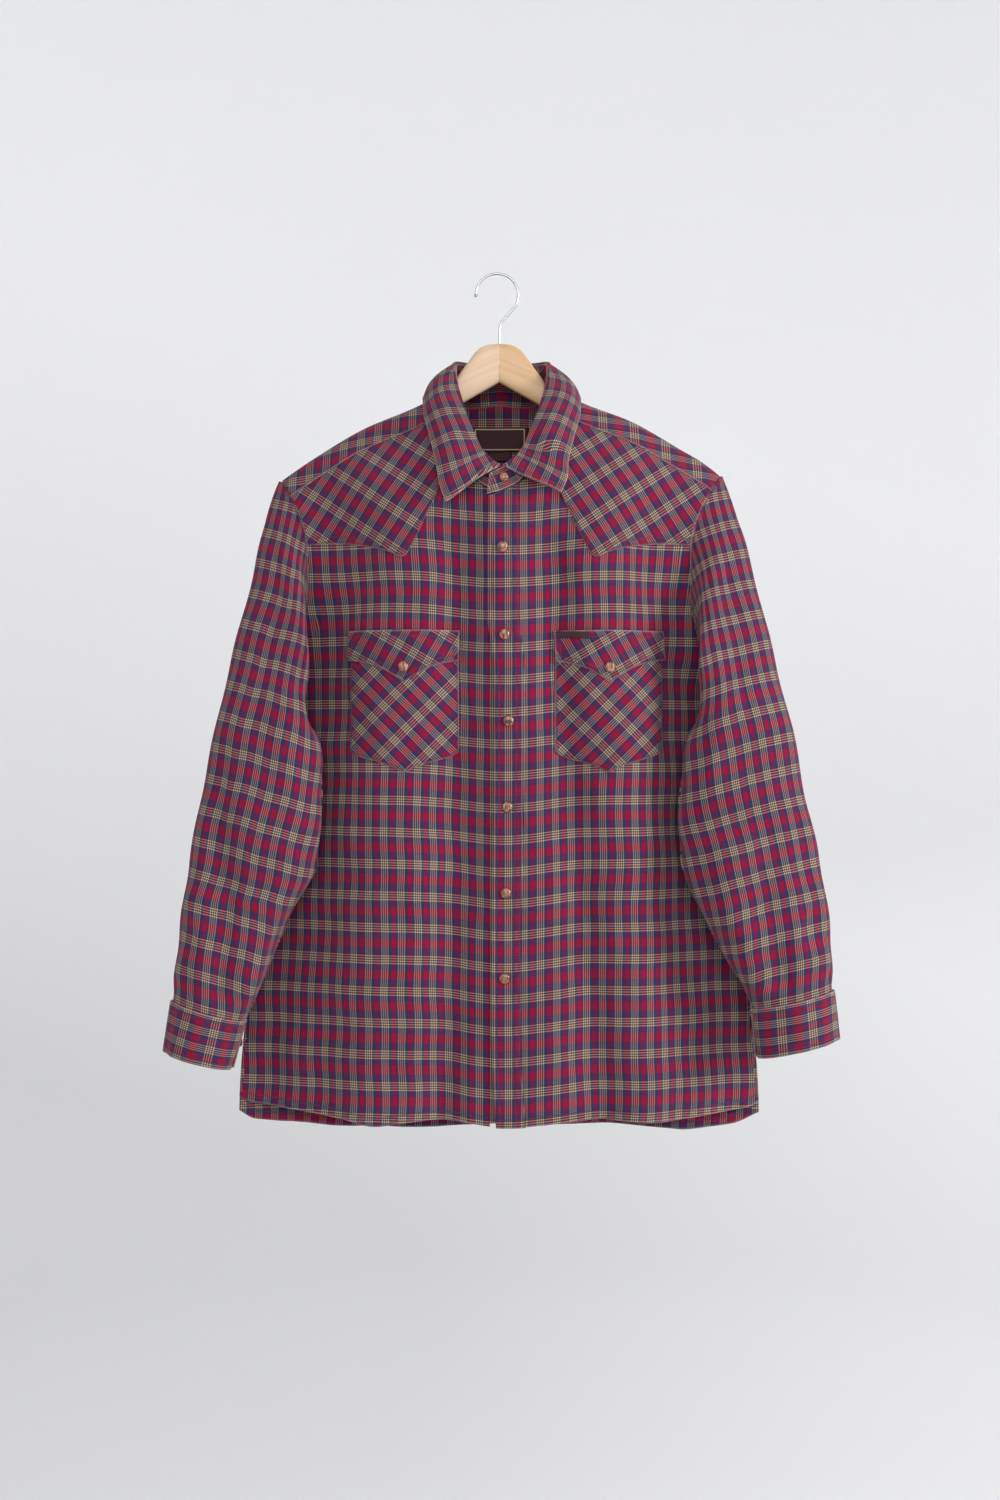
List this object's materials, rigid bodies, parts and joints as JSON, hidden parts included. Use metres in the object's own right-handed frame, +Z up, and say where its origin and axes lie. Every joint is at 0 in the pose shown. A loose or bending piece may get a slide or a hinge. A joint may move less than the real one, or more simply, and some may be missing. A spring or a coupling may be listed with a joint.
{
  "type": "western snap shirt on a wooden hanger",
  "caption": "Long-sleeved western shirt in a yarn-dyed check with pointed yokes, flapped chest pockets and snap fastening, hanging buttoned on a wooden hanger.",
  "frame": {"origin": "inside top of the hanger's hook, where it hangs on a rail", "axes": "+Z up, +X to the right as the front is seen, the front of the shirt faces -Y"},
  "size_m": [0.728, 0.1406, 0.9407],
  "materials": {
    "check_cloth": "brushed cotton twill, crimson, navy and cream check",
    "label_cloth": "woven label, plain",
    "snap": "horn-look cap in an antique copper rim",
    "hanger_wood": "pale varnished wood",
    "hook_chrome": "chromed steel wire"
  },
  "bodies": {
    "root": {"front_left": "check_cloth", "front_right": "check_cloth", "back": "check_cloth", "back_yoke": "check_cloth", "yoke_front_left": "check_cloth", "yoke_front_right": "check_cloth", "placket_front": "check_cloth", "placket_under": "check_cloth", "sleeve_left": "check_cloth", "sleeve_right": "check_cloth", "sleeve_placket_left": "check_cloth", "sleeve_placket_right": "check_cloth", "cuff_left": "check_cloth", "cuff_right": "check_cloth", "collar_stand": "check_cloth", "collar_fall": "check_cloth", "pocket_left": "check_cloth", "pocket_right": "check_cloth", "flap_left": "check_cloth", "flap_right": "check_cloth", "neck_label": "label_cloth", "size_tab": "label_cloth", "pocket_tab": "label_cloth", "snap_placket_1": "snap", "snap_placket_2": "snap", "snap_placket_3": "snap", "snap_placket_4": "snap", "snap_placket_5": "snap", "snap_placket_6": "snap", "snap_flap_left": "snap", "snap_flap_right": "snap", "snap_stand": "snap", "snap_cuff_left": "snap", "snap_cuff_right": "snap", "hanger_left": "hanger_wood", "hanger_right": "hanger_wood", "hook": "hook_chrome"}
  },
  "joints": []
}
